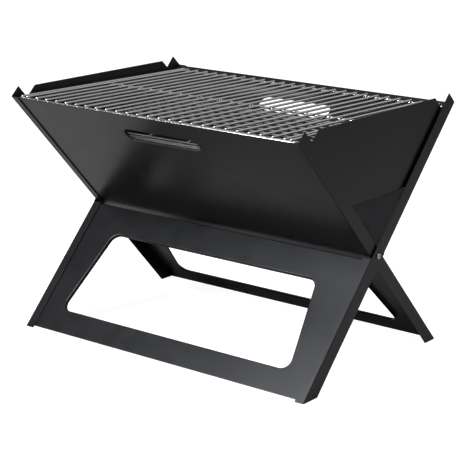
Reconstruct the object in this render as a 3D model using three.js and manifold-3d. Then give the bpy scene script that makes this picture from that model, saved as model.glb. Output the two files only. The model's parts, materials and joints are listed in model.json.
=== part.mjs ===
// Folding camp grill: two steel frames that cross on a pair of pivot screws.
// Millimetres, +Z up, +X to the right. The front is -Y. The origin is on the ground, under the pivot line.
//
// The inner frame carries the front wall (top, front) and the rear leg panel (bottom, rear).
// The outer frame carries the rear wall (top, rear) and the front leg panel (bottom, front).
// Every frame is drawn along its own rail: s runs up the rail from the pivot, and u is the distance
// from the rail's middle line, positive on the side that faces up.

import * as THREE from 'three';
import { mergeVertices } from 'three/addons/utils/BufferGeometryUtils.js';
import Module from 'manifold-3d';

const wasm = await Module();
wasm.setup();

// ---------------------------------------------------------------- driving dimensions

const OVERALL_WIDTH = 450;       // outer faces of the outer rails
const PIVOT_HEIGHT = 144.7;      // pivot line above the ground
const RAIL_TILT = THREE.MathUtils.degToRad(43.3); // each rail, from the vertical
const RAIL_REACH = 234.5;        // from the pivot to the square-cut top of a rail

const RAIL_SHEET = 1.0;          // thickness of the rails
const OUTER_RAIL_DEPTH = 20.2;   // the inner rail nests between the outer rail's lips
const NEST_CLEARANCE = 0.3;
const RAIL_GAP = 1.3;            // between the outer and the inner rail
const OUTER_LIP_WIDTH = 13;
const INNER_LIP_WIDTH = 11.5;
const LIP_CLEARANCE = 0.4;       // each lip begins this far clear of the rail that it crosses

const PANEL_SHEET = 0.8;         // thickness of walls, leg panels and end plates
const SEAT_GAP = 0.3;            // clearance between pieces that touch
const PANEL_SIDE_CLEARANCE = 0.5; // between an outer panel's edge and the inner rail
const WALL_TOP_DROP = 2;         // wall's top edge below the rail's end
const WALL_FOOT_GAP = 4.1;       // keeps the two walls' lower edges apart

const HANDLE_SLOT_LENGTH = 114;
const HANDLE_SLOT_WIDTH = 22;
const HANDLE_SLOT_DROP = 44;     // from the rail's end to the slot's middle
const RIM_WALL = 0.8;            // thickness of the turned-in rims
const SLOT_RIM_DEPTH = 2.6;

const LEG_TOP = -11;             // upper edge of a leg panel, measured up the rail
const LEG_TOP_RETURN = 5;        // depth of the leg panel's turned-in upper edge
const WINDOW_HEAD = 40;          // strip above the leg panel's window
const WINDOW_SILL = 26.8;        // from the rail's foot, at its middle, to the window
const WINDOW_TOP_INSET = 61.3;   // the window's sides, from the outer rails' outer faces
const WINDOW_BOTTOM_INSET = 40.6;
const WINDOW_CORNER = 13;
const WINDOW_RIM_DEPTH = 4;
const FRONT_LEG_LIFT = 1.5;      // leg panel's lower edge above the ground
const REAR_LEG_LIFT = 0.5;

const END_PLATE_RISE = 4.1;      // upper edge, above the middle of the rails' ends
const END_PLATE_HEIGHT = 101.5;
const END_PLATE_CORNER_DROP = 21; // where the slanting corners cross the walls, from the rails' ends
const END_PLATE_SHELF = 7;       // turned-in lower edge

const COOKING_FRONT_DROP = 5.6;  // where the cooking grate's wires rest, from the rails' ends
const COOKING_REAR_DROP = 11.8;
const COOKING_ROD = 3.0;         // diameters
const COOKING_CROSS_WIRE = 3.5;
const COOKING_ROD_COUNT = 25;    // evenly spaced, between the two edge rods
const COOKING_EDGE_ROD_STEP = 8.3; // from the last rod to the edge rod
const COOKING_SIDE_PLAY = 7.1;   // from the cross wires' ends to the end plates
const COOKING_WIRE_OVERHANG = 5.3; // of the cross wires past the edge rods
const COOKING_ROD_OVERHANG = 2.2;

const CHARCOAL_DROP = 66;        // where the charcoal grate rests, from the rails' ends
const CHARCOAL_ROD = 3.0;
const CHARCOAL_CROSS_WIRE = 3.6;
const CHARCOAL_CROSS_COUNT = 7;
const CHARCOAL_CROSS_INSET = 20; // of the outermost cross wires from the rods' ends
const CHARCOAL_SIDE_PLAY = 14.6; // from the rods' ends to the end plates
const CHARCOAL_ROD_COUNT = 14;
const CHARCOAL_EDGE_INSET = 4;   // outermost rod from the cross wires' ends
const CHARCOAL_DOUBLE_STEP = 7.5; // the second rod of each edge pair

const WELD_SINK = 0.4;           // how far crossing wires melt into each other
const WIRE_SIDES = 8;

const SCREW_SHAFT = 4.8;         // diameters
const SCREW_CLEARANCE = 0.2;     // around the shaft
const SCREW_HEAD = 7.2;
const SCREW_HEAD_HEIGHT = 2.1;
const SCREW_HEAD_RIM = 0.84;     // height of the head's straight edge
const CROSS_RECESS_LENGTH = 4.2;
const CROSS_RECESS_WIDTH = 0.9;
const CROSS_RECESS_DEPTH = 1.1;
const SHIM_DIAMETER = 12;
const WASHER_DIAMETER = 10;
const WASHER_THICKNESS = 0.8;
const NUT_ACROSS_FLATS = 8;
const NUT_THICKNESS = 4;
const SCREW_END_BEYOND_NUT = 1.2;
const PIVOT_RUNNING_GAP = 0.2;

const CUT_OVERSHOOT = 1;         // how far a cutting solid runs past what it cuts
const MERGE_DISTANCE = 1e-5;     // corners this near are one corner
const ARC_STEPS = 6;             // segments of an outline's arc
const ROUND_SIDES = 24;          // sides of a turned piece
const HEAD_STEPS = 5;            // segments of the screw head's dome
const DOME_FULLNESS = 0.95;      // where the dome's curve turns, as a share of the head's radius
const NUT_SIDES = 6;

// ---------------------------------------------------------------- derived dimensions

const SIN = Math.sin(RAIL_TILT);
const COS = Math.cos(RAIL_TILT);
const OUTER_RAIL_X = OVERALL_WIDTH / 2;
const INNER_RAIL_X = OUTER_RAIL_X - RAIL_SHEET - RAIL_GAP;
const INNER_RAIL_FACE = INNER_RAIL_X - RAIL_SHEET;
const INNER_RAIL_DEPTH = OUTER_RAIL_DEPTH - 2 * (RAIL_SHEET + NEST_CLEARANCE);
const PANEL_TOP = RAIL_REACH - WALL_TOP_DROP;
const LIP_START = OUTER_RAIL_DEPTH / 2 + LIP_CLEARANCE; // from the pivot
const WALL_BOTTOM = WALL_FOOT_GAP - OUTER_RAIL_DEPTH / 2; // measured up the rail
const HANDLE_SLOT_REACH = RAIL_REACH - HANDLE_SLOT_DROP;
const WINDOW_TOP = LEG_TOP - WINDOW_HEAD;
const WINDOW_BOTTOM = WINDOW_SILL - PIVOT_HEIGHT / COS;
const END_PLATE_FACE = INNER_RAIL_FACE - SEAT_GAP - PANEL_SHEET;
const END_PLATE_TOP = PIVOT_HEIGHT + RAIL_REACH * COS + END_PLATE_RISE; // above the ground
const END_PLATE_BOTTOM = END_PLATE_TOP - END_PLATE_HEIGHT;
const END_PLATE_CORNER = RAIL_REACH - END_PLATE_CORNER_DROP;
const SCREW_HOLE = SCREW_SHAFT + 2 * SCREW_CLEARANCE;

/** One crossing frame. side is +1 where u runs towards +Y, and -1 where it runs towards -Y. */
const INNER_FRAME = {
  side: 1,
  railX: INNER_RAIL_X,
  depth: INNER_RAIL_DEPTH,
  lip: INNER_LIP_WIDTH,
  panelHalf: INNER_RAIL_FACE - SEAT_GAP,
  legLift: REAR_LEG_LIFT,
};
const OUTER_FRAME = {
  side: -1,
  railX: OUTER_RAIL_X,
  depth: OUTER_RAIL_DEPTH,
  lip: OUTER_LIP_WIDTH,
  panelHalf: INNER_RAIL_FACE - PANEL_SIDE_CLEARANCE,
  legLift: FRONT_LEG_LIFT,
};

/** Distance of a panel's inner face from the rail's middle line. */
function panelInnerFace(frame) {
  return frame.depth / 2 - RAIL_SHEET - SEAT_GAP - PANEL_SHEET;
}

/** Place along the rail, at distance u, of the point that is `height` above the ground. */
function railAtHeight(u, height) {
  return (height - PIVOT_HEIGHT - u * SIN) / COS;
}

/** World [y, z] of a point given along one frame's rail. */
function worldPoint(frame, s, u) {
  return [frame.side * (-s * SIN + u * COS), PIVOT_HEIGHT + s * COS + u * SIN];
}

// ---------------------------------------------------------------- solids

/** A closed geometry as a manifold solid. */
function solid(geometry) {
  const bare = geometry.index ? geometry.toNonIndexed() : geometry.clone();
  bare.deleteAttribute('normal');
  bare.deleteAttribute('uv');
  const merged = mergeVertices(bare, MERGE_DISTANCE);
  return new wasm.Manifold(new wasm.Mesh({
    numProp: 3,
    vertProperties: new Float32Array(merged.attributes.position.array),
    triVerts: new Uint32Array(merged.index.array),
  }));
}

/** A manifold solid as a three.js geometry with flat faces. */
function geometryOf(body) {
  const { vertProperties, triVerts } = body.getMesh();
  const indexed = new THREE.BufferGeometry();
  indexed.setAttribute('position', new THREE.BufferAttribute(new Float32Array(vertProperties), 3));
  indexed.setIndex(new THREE.BufferAttribute(new Uint32Array(triVerts), 1));
  const flat = indexed.toNonIndexed();
  flat.computeVertexNormals();
  return flat;
}

function union(bodies) {
  return bodies.reduce((whole, body) => whole.add(body));
}

function polygon(points) {
  return new THREE.Shape(points.map(([a, b]) => new THREE.Vector2(a, b)));
}

function extruded(shape, depth) {
  return new THREE.ExtrudeGeometry(shape, { depth, bevelEnabled: false, curveSegments: ARC_STEPS });
}

/** A flat outline in the frame's (y, z) plane, extruded along X from x0 to x1. */
function alongX(shape, x0, x1) {
  const geometry = extruded(shape, x1 - x0);
  // the outline's first axis becomes Y, its second Z, and the extrusion X
  geometry.applyMatrix4(new THREE.Matrix4().set(0, 0, 1, x0, 1, 0, 0, 0, 0, 1, 0, 0, 0, 0, 0, 1));
  return solid(geometry);
}

/** An outline in the (x, s) plane of a frame, given thickness from u0 to u1. */
function acrossRail(frame, shape, u0, u1) {
  const ys = [frame.side * u0, frame.side * u1].sort((a, b) => a - b);
  const geometry = extruded(shape, ys[1] - ys[0]);
  // the outline stays in X and Z, and the extrusion runs towards -Y
  geometry.applyMatrix4(new THREE.Matrix4().set(1, 0, 0, 0, 0, 0, -1, ys[1], 0, 1, 0, 0, 0, 0, 0, 1));
  return solid(geometry);
}

function cylinderAlongX(radius, x0, x1, sides = ROUND_SIDES) {
  const geometry = new THREE.CylinderGeometry(radius, radius, x1 - x0, sides);
  geometry.rotateZ(Math.PI / 2);
  geometry.translate((x0 + x1) / 2, 0, 0);
  return solid(geometry);
}

function cylinderAlongY(radius, y0, y1, sides) {
  const geometry = new THREE.CylinderGeometry(radius, radius, y1 - y0, sides);
  geometry.translate(0, (y0 + y1) / 2, 0);
  return solid(geometry);
}

/** A piece built for the right-hand side, or its mirror image for the left. */
function onSide(body, hand) {
  return hand > 0 ? body : body.mirror([1, 0, 0]);
}

function mesh(name, body, material) {
  const piece = new THREE.Mesh(geometryOf(body), material);
  piece.name = name;
  return piece;
}

// ---------------------------------------------------------------- outlines

/** A closed outline with its corners rounded to one radius. */
function roundedOutline(corners, radius) {
  const shape = new THREE.Shape();
  corners.forEach((corner, i) => {
    const here = new THREE.Vector2(...corner);
    const towards = (j) => new THREE.Vector2(...corners[j % corners.length]).sub(here).normalize();
    const before = towards(i + corners.length - 1);
    const after = towards(i + 1);
    const halfAngle = Math.acos(THREE.MathUtils.clamp(before.dot(after), -1, 1)) / 2;
    const setback = radius / Math.tan(halfAngle);
    const start = here.clone().addScaledVector(before, setback);
    const end = here.clone().addScaledVector(after, setback);
    const inwards = before.clone().add(after).normalize();
    const centre = here.clone().addScaledVector(inwards, radius / Math.sin(halfAngle));
    const from = start.clone().sub(centre).angle();
    const to = end.clone().sub(centre).angle();
    if (i === 0) shape.moveTo(start.x, start.y);
    else shape.lineTo(start.x, start.y);
    shape.absarc(centre.x, centre.y, radius, from, to, false);
  });
  shape.closePath();
  return shape;
}

/** The handle slot, grown outwards by `grow`: two straight sides and two half circles. */
function slotOutline(grow) {
  const radius = HANDLE_SLOT_WIDTH / 2 + grow;
  const straight = HANDLE_SLOT_LENGTH / 2 - HANDLE_SLOT_WIDTH / 2;
  const shape = new THREE.Shape();
  shape.moveTo(-straight, HANDLE_SLOT_REACH - radius);
  shape.lineTo(straight, HANDLE_SLOT_REACH - radius);
  shape.absarc(straight, HANDLE_SLOT_REACH, radius, -Math.PI / 2, Math.PI / 2, false);
  shape.lineTo(-straight, HANDLE_SLOT_REACH + radius);
  shape.absarc(-straight, HANDLE_SLOT_REACH, radius, Math.PI / 2, 1.5 * Math.PI, false);
  return shape;
}

/** The leg panel's window, grown outwards by `grow`. */
function windowOutline(grow) {
  const topHalf = OUTER_RAIL_X - WINDOW_TOP_INSET + grow;
  const bottomHalf = OUTER_RAIL_X - WINDOW_BOTTOM_INSET + grow;
  const corners = [
    [-bottomHalf, WINDOW_BOTTOM - grow],
    [bottomHalf, WINDOW_BOTTOM - grow],
    [topHalf, WINDOW_TOP + grow],
    [-topHalf, WINDOW_TOP + grow],
  ];
  return roundedOutline(corners, WINDOW_CORNER + grow);
}

// ---------------------------------------------------------------- frame pieces

/** A rail: a flat flange that the screw passes through, a lip on one edge above it and on the other below. */
function rail(frame, hand) {
  const half = frame.depth / 2;
  const foot = (u) => railAtHeight(u, 0);
  const y = (u) => frame.side * u;
  const flange = alongX(
    polygon([[y(-half), foot(-half)], [y(half), foot(half)], [y(half), RAIL_REACH], [y(-half), RAIL_REACH]]),
    frame.railX - RAIL_SHEET, frame.railX,
  );
  const bend = half - RAIL_SHEET;
  const lip = (corners) => alongX(polygon(corners), frame.railX - frame.lip, frame.railX);
  const upperLip = lip(
    [[y(-half), LIP_START], [y(-bend), LIP_START], [y(-bend), RAIL_REACH], [y(-half), RAIL_REACH]],
  );
  const lowerLip = lip(
    [[y(bend), foot(bend)], [y(half), foot(half)], [y(half), -LIP_START], [y(bend), -LIP_START]],
  );
  const hole = cylinderAlongX(
    SCREW_HOLE / 2, frame.railX - RAIL_SHEET - CUT_OVERSHOOT, frame.railX + CUT_OVERSHOOT,
  );
  return onSide(union([flange, upperLip, lowerLip]).subtract(hole), hand);
}

/** A firebox wall: a flat sheet behind the rails' upper lips, with a rimmed handle slot. */
function wall(frame) {
  const inner = panelInnerFace(frame);
  const half = frame.panelHalf;
  const sheet = acrossRail(
    frame,
    polygon([[-half, WALL_BOTTOM], [half, WALL_BOTTOM], [half, PANEL_TOP], [-half, PANEL_TOP]]),
    -inner - PANEL_SHEET, -inner,
  );
  const rim = acrossRail(frame, slotOutline(RIM_WALL), -inner - PANEL_SHEET, -inner + SLOT_RIM_DEPTH);
  const opening = acrossRail(
    frame, slotOutline(0), -inner - PANEL_SHEET - CUT_OVERSHOOT, -inner + SLOT_RIM_DEPTH + CUT_OVERSHOOT,
  );
  return sheet.add(rim).subtract(opening);
}

/** A leg panel: a sheet behind the rails' lower lips, with a rimmed window and a turned-in upper edge. */
function legPanel(frame) {
  const inner = panelInnerFace(frame);
  const half = frame.panelHalf;
  const lower = railAtHeight(inner, frame.legLift);
  const sheet = acrossRail(
    frame,
    polygon([[-half, lower], [half, lower], [half, LEG_TOP], [-half, LEG_TOP]]),
    inner, inner + PANEL_SHEET,
  );
  const bend = LEG_TOP - PANEL_SHEET;
  const topReturn = acrossRail(
    frame,
    polygon([[-half, bend], [half, bend], [half, LEG_TOP], [-half, LEG_TOP]]),
    inner - LEG_TOP_RETURN, inner + PANEL_SHEET,
  );
  const rim = acrossRail(frame, windowOutline(RIM_WALL), inner - WINDOW_RIM_DEPTH, inner + PANEL_SHEET);
  const opening = acrossRail(
    frame, windowOutline(0), inner - WINDOW_RIM_DEPTH - CUT_OVERSHOOT, inner + PANEL_SHEET + CUT_OVERSHOOT,
  );
  return union([sheet, topReturn, rim]).subtract(opening);
}

// ---------------------------------------------------------------- pivot fasteners

function ring(outer, hole, x0, x1) {
  return cylinderAlongX(outer / 2, x0, x1)
    .subtract(cylinderAlongX(hole / 2, x0 - CUT_OVERSHOOT, x1 + CUT_OVERSHOOT));
}

const INNER_WASHER_X = INNER_RAIL_FACE - PIVOT_RUNNING_GAP - WASHER_THICKNESS;
const NUT_X = INNER_WASHER_X - PIVOT_RUNNING_GAP - NUT_THICKNESS;

/** Pan-head screw with a cross recess, its head outside the outer rail. */
function pivotScrew(hand) {
  const seat = OUTER_RAIL_X + PIVOT_RUNNING_GAP;
  const radius = SCREW_HEAD / 2;
  const profile = new THREE.Path();
  profile.moveTo(0, 0);
  profile.lineTo(radius, 0);
  profile.lineTo(radius, SCREW_HEAD_RIM);
  profile.quadraticCurveTo(radius * DOME_FULLNESS, SCREW_HEAD_HEIGHT, 0, SCREW_HEAD_HEIGHT);
  const head = new THREE.LatheGeometry(profile.getPoints(HEAD_STEPS), ROUND_SIDES);
  head.rotateZ(-Math.PI / 2);
  head.translate(seat, 0, 0);
  const shaft = cylinderAlongX(SCREW_SHAFT / 2, NUT_X - SCREW_END_BEYOND_NUT, seat + SCREW_HEAD_HEIGHT / 2);
  const recessFloor = seat + SCREW_HEAD_HEIGHT - CROSS_RECESS_DEPTH;
  const bars = [[CROSS_RECESS_LENGTH, CROSS_RECESS_WIDTH], [CROSS_RECESS_WIDTH, CROSS_RECESS_LENGTH]];
  const recess = bars.map(([wide, tall]) => {
    const bar = new THREE.BoxGeometry(2 * CROSS_RECESS_DEPTH, wide, tall);
    bar.translate(recessFloor + CROSS_RECESS_DEPTH, 0, 0);
    return solid(bar);
  });
  return onSide(solid(head).add(shaft).subtract(union(recess)), hand);
}

/** Thin shim that keeps the two rails apart at the pivot. */
function pivotShim(hand) {
  const start = INNER_RAIL_X + SEAT_GAP;
  const end = INNER_RAIL_X + RAIL_GAP - SEAT_GAP;
  return onSide(ring(SHIM_DIAMETER, SCREW_HOLE, start, end), hand);
}

function nutWasher(hand) {
  return onSide(ring(WASHER_DIAMETER, SCREW_HOLE, INNER_WASHER_X, INNER_WASHER_X + WASHER_THICKNESS), hand);
}

function pivotNut(hand) {
  const acrossCorners = NUT_ACROSS_FLATS / Math.cos(Math.PI / NUT_SIDES);
  const body = cylinderAlongX(acrossCorners / 2, NUT_X, NUT_X + NUT_THICKNESS, NUT_SIDES);
  const bore = cylinderAlongX(SCREW_HOLE / 2, NUT_X - CUT_OVERSHOOT, NUT_X + NUT_THICKNESS + CUT_OVERSHOOT);
  return onSide(body.subtract(bore), hand);
}

// ---------------------------------------------------------------- end plates and grates

/** End plate: it stands between the two walls, against the inner rail, and stops well above the pivot. */
function endPlate(hand) {
  const seat = (frame) => -panelInnerFace(frame) + SEAT_GAP;
  const shoulder = (frame) => worldPoint(frame, END_PLATE_CORNER, seat(frame));
  const corner = (frame) => {
    // the slanting corner is square to the rail, up to the plate's upper edge
    const u = (END_PLATE_TOP - PIVOT_HEIGHT - END_PLATE_CORNER * COS) / SIN;
    return worldPoint(frame, END_PLATE_CORNER, u);
  };
  const lower = (frame) => worldPoint(frame, railAtHeight(seat(frame), END_PLATE_BOTTOM), seat(frame));
  const outerX = END_PLATE_FACE + PANEL_SHEET;
  const [front, rear] = [INNER_FRAME, OUTER_FRAME];
  const outline = polygon([
    lower(front), lower(rear), shoulder(rear), corner(rear), corner(front), shoulder(front),
  ]);
  const plate = alongX(outline, END_PLATE_FACE, outerX);
  const [frontFoot] = lower(front);
  const [rearFoot] = lower(rear);
  const shelf = alongX(
    polygon([
      [frontFoot + PANEL_SHEET, END_PLATE_BOTTOM],
      [rearFoot - PANEL_SHEET, END_PLATE_BOTTOM],
      [rearFoot - PANEL_SHEET, END_PLATE_BOTTOM + PANEL_SHEET],
      [frontFoot + PANEL_SHEET, END_PLATE_BOTTOM + PANEL_SHEET],
    ]),
    outerX - END_PLATE_SHELF, outerX,
  );
  return onSide(plate.add(shelf), hand);
}

/** `count` places, evenly spaced from -reach to reach. */
function spaced(count, reach) {
  return Array.from({ length: count }, (_, i) => reach * ((2 * i) / (count - 1) - 1));
}

/** Cooking grate: rods from front to back, welded on three cross wires. */
function cookingGrate(depth) {
  const rodHalf = depth / 2 + COOKING_ROD_OVERHANG;
  const rodHeight = (COOKING_CROSS_WIRE + COOKING_ROD) / 2 - WELD_SINK;
  const wireEnd = END_PLATE_FACE - COOKING_SIDE_PLAY;
  const crossWires = [-depth / 2, 0, depth / 2].map((y) => (
    cylinderAlongX(COOKING_CROSS_WIRE / 2, -wireEnd, wireEnd, WIRE_SIDES).translate([0, y, 0])
  ));
  const edge = wireEnd - COOKING_WIRE_OVERHANG;
  const places = [-edge, ...spaced(COOKING_ROD_COUNT, edge - COOKING_EDGE_ROD_STEP), edge];
  const rods = places.map(
    (x) => cylinderAlongY(COOKING_ROD / 2, -rodHalf, rodHalf, WIRE_SIDES).translate([x, 0, rodHeight]),
  );
  return union([...crossWires, ...rods]);
}

/** Charcoal grate: rods from side to side, on cross wires whose ends rest on the walls. */
function charcoalGrate(frontEnd, rearEnd) {
  const rodHeight = (CHARCOAL_CROSS_WIRE + CHARCOAL_ROD) / 2 - WELD_SINK;
  const rodEnd = END_PLATE_FACE - CHARCOAL_SIDE_PLAY;
  const crossWires = spaced(CHARCOAL_CROSS_COUNT, rodEnd - CHARCOAL_CROSS_INSET).map((x) => (
    cylinderAlongY(CHARCOAL_CROSS_WIRE / 2, frontEnd, rearEnd, WIRE_SIDES).translate([x, 0, 0])
  ));
  const middle = (frontEnd + rearEnd) / 2;
  const edge = (rearEnd - frontEnd) / 2 - CHARCOAL_EDGE_INSET;
  const doubled = edge - CHARCOAL_DOUBLE_STEP;
  const rods = [...spaced(CHARCOAL_ROD_COUNT, edge), -doubled, doubled].map((y) => (
    cylinderAlongX(CHARCOAL_ROD / 2, -rodEnd, rodEnd, WIRE_SIDES).translate([0, middle + y, rodHeight])
  ));
  return union([...crossWires, ...rods]);
}

// ---------------------------------------------------------------- materials

const finish = (color, roughness, metalness) => (
  new THREE.MeshStandardMaterial({ color, roughness, metalness })
);
const blackSteel = () => finish(0x1c1c1e, 0.42, 0.35);
const chromeWire = () => finish(0xc9cac6, 0.22, 0.95);
const zincFastener = () => finish(0xa9aaa8, 0.3, 0.9);

// ---------------------------------------------------------------- assembly

/** A group whose Z axis runs up a frame's rails, with its origin on the pivot line. */
function frameGroup(frame) {
  const group = new THREE.Group();
  group.position.set(0, 0, PIVOT_HEIGHT);
  group.rotation.x = frame.side * RAIL_TILT;
  return group;
}

const HANDS = [['left', -1], ['right', 1]];

const innerGroup = frameGroup(INNER_FRAME);
innerGroup.add(mesh('front_wall', wall(INNER_FRAME), blackSteel()));
innerGroup.add(mesh('rear_leg_panel', legPanel(INNER_FRAME), blackSteel()));

const outerGroup = frameGroup(OUTER_FRAME);
outerGroup.add(mesh('rear_wall', wall(OUTER_FRAME), blackSteel()));
outerGroup.add(mesh('front_leg_panel', legPanel(OUTER_FRAME), blackSteel()));

for (const [word, hand] of HANDS) {
  innerGroup.add(mesh(`${word}_inner_rail`, rail(INNER_FRAME, hand), blackSteel()));
  innerGroup.add(mesh(`${word}_nut_washer`, nutWasher(hand), zincFastener()));
  innerGroup.add(mesh(`${word}_pivot_nut`, pivotNut(hand), zincFastener()));
  outerGroup.add(mesh(`${word}_outer_rail`, rail(OUTER_FRAME, hand), blackSteel()));
  outerGroup.add(mesh(`${word}_pivot_screw`, pivotScrew(hand), zincFastener()));
  outerGroup.add(mesh(`${word}_pivot_shim`, pivotShim(hand), zincFastener()));
}

const grill = new THREE.Group();
grill.add(innerGroup, outerGroup);
for (const [word, hand] of HANDS) {
  grill.add(mesh(`${word}_end_plate`, endPlate(hand), blackSteel()));
}

// the cooking grate's front and rear wires each rest on a wall, the front one a little higher
const wireSeat = (frame) => -panelInnerFace(frame) + SEAT_GAP + COOKING_CROSS_WIRE / 2;
const cookingSeat = (frame, drop) => worldPoint(frame, RAIL_REACH - drop, wireSeat(frame));
const [cookFrontY, cookFrontZ] = cookingSeat(INNER_FRAME, COOKING_FRONT_DROP);
const [cookRearY, cookRearZ] = cookingSeat(OUTER_FRAME, COOKING_REAR_DROP);
const cookingDepth = Math.hypot(cookRearY - cookFrontY, cookRearZ - cookFrontZ);
const cooking = mesh('cooking_grate', cookingGrate(cookingDepth), chromeWire());
cooking.position.set(0, (cookFrontY + cookRearY) / 2, (cookFrontZ + cookRearZ) / 2);
cooking.rotation.x = Math.atan2(cookRearZ - cookFrontZ, cookRearY - cookFrontY);
grill.add(cooking);

// the charcoal grate lies level, and the lower edge of each cross wire's end meets the wall
const charcoalHeight = PIVOT_HEIGHT + (RAIL_REACH - CHARCOAL_DROP) * COS;
const wallAt = (frame, height) => {
  const u = -panelInnerFace(frame) + SEAT_GAP;
  return worldPoint(frame, railAtHeight(u, height), u)[0];
};
const lowerSide = charcoalHeight - CHARCOAL_CROSS_WIRE / 2;
const charcoal = mesh(
  'charcoal_grate',
  charcoalGrate(wallAt(INNER_FRAME, lowerSide), wallAt(OUTER_FRAME, lowerSide)),
  chromeWire(),
);
charcoal.position.set(0, 0, charcoalHeight);
grill.add(charcoal);

export default grill;
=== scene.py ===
"""Looks of a folding camp grill: two crossing sheet-steel frames, end plates, wire grates and pivots.

Metres, +Z up, +X to the right, the front at -Y. Each frame is drawn along its own rail first: local Z runs
up the rail from the pivot line, local X across the grill, and `u` is the distance from the rail's middle
line, positive on the side that faces up. The finished mesh is then tilted into its place.
"""

import json
import logging
import math
from dataclasses import dataclass, field
from enum import Enum
from typing import Callable, Iterable, Sequence

import bpy
from mathutils import Matrix, Vector


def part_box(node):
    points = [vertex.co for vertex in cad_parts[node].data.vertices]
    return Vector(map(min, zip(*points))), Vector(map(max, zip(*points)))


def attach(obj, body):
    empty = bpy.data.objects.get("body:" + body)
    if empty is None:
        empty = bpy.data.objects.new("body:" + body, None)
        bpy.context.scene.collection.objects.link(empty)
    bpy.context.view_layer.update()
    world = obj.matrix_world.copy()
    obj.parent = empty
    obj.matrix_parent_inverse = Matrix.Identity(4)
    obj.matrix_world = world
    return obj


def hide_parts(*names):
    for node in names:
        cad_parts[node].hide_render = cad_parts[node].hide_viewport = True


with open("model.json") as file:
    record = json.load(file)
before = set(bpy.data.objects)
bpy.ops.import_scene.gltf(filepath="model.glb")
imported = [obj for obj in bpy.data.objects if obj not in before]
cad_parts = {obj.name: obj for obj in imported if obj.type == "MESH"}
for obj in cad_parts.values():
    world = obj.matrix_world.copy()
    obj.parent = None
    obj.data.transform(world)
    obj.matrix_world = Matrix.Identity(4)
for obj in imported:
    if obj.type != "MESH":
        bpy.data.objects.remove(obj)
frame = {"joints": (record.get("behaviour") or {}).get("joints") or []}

LOG = logging.getLogger("camp_grill")
MM = 0.001
HAIR = 0.01 * MM
MERGE_WITHIN = 0.002 * MM

Test = Callable[[Vector], bool]
Socket = bpy.types.NodeSocket


class Hand(Enum):
    """The side of the grill that a piece is on."""

    LEFT = -1
    RIGHT = 1

    @property
    def word(self) -> str:
        """The word that starts the names of this side's pieces."""
        return self.name.lower()


class Slot(Enum):
    """The record's material slots."""

    STEEL = "black_steel"
    WIRE = "chrome_wire"
    FASTENER = "zinc_fastener"


# ------------------------------------------------------------------------------------------ sizes


@dataclass(frozen=True)
class GrillSizes:
    """Sizes that more than one piece shares."""

    tilt: float = math.radians(43.3)
    reach: float = 234.5 * MM
    rail_sheet: float = 1.0 * MM
    panel_sheet: float = 0.8 * MM
    seat_gap: float = 0.3 * MM
    screw_hole: float = 5.2 * MM
    edge_break: float = 0.12 * MM
    sharp_edge: float = math.radians(40)

    @property
    def pivot_z(self) -> float:
        """Height of the pivot line."""
        return next(j["pos_m"][2] for j in frame["joints"] if j["name"] == "frame_fold")


SIZES = GrillSizes()


@dataclass(frozen=True)
class CrossedFrame:
    """One of the two crossing frames: which way its rails lean, how deep they are, and its body."""

    side: int
    body: str
    word: str
    depth: float
    lip: float

    @property
    def rail_x(self) -> float:
        """The rails' outer faces, from the middle of the grill."""
        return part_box(f"right_{self.word}_rail")[1].x

    @property
    def panel_u(self) -> float:
        """The panels' inner faces, from the rail's middle line."""
        return self.depth / 2 - SIZES.rail_sheet - SIZES.seat_gap - SIZES.panel_sheet

    @property
    def placed(self) -> Matrix:
        """What takes a point drawn along the rail to its place on the grill."""
        lift = Matrix.Translation((0, 0, SIZES.pivot_z))
        return lift @ Matrix.Rotation(self.side * SIZES.tilt, 4, "X")

    @property
    def up_rail(self) -> Vector:
        """Direction up the rail."""
        return self.placed.to_3x3() @ Vector((0, 0, 1))

    @property
    def outwards(self) -> Vector:
        """Direction in which u grows."""
        return self.placed.to_3x3() @ Vector((0, self.side, 0))

    def point(self, up: float, u: float) -> Vector:
        """Place on the grill's middle plane.

        Args:
            up: distance up the rail from the pivot line.
            u: distance from the rail's middle line.

        Returns:
            The point, in the row frame.
        """
        return self.placed @ Vector((0, self.side * u, up))

    def up_at_height(self, u: float, height: float) -> float:
        """How far up the rail, at distance u, a height above the ground is reached."""
        return (height - SIZES.pivot_z - u * math.sin(SIZES.tilt)) / math.cos(SIZES.tilt)


INNER = CrossedFrame(side=1, body="inner_frame", word="inner", depth=17.6 * MM, lip=11.5 * MM)
OUTER = CrossedFrame(side=-1, body="outer_frame", word="outer", depth=20.2 * MM, lip=13 * MM)


# --------------------------------------------------------------------------------------- finishes


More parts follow.
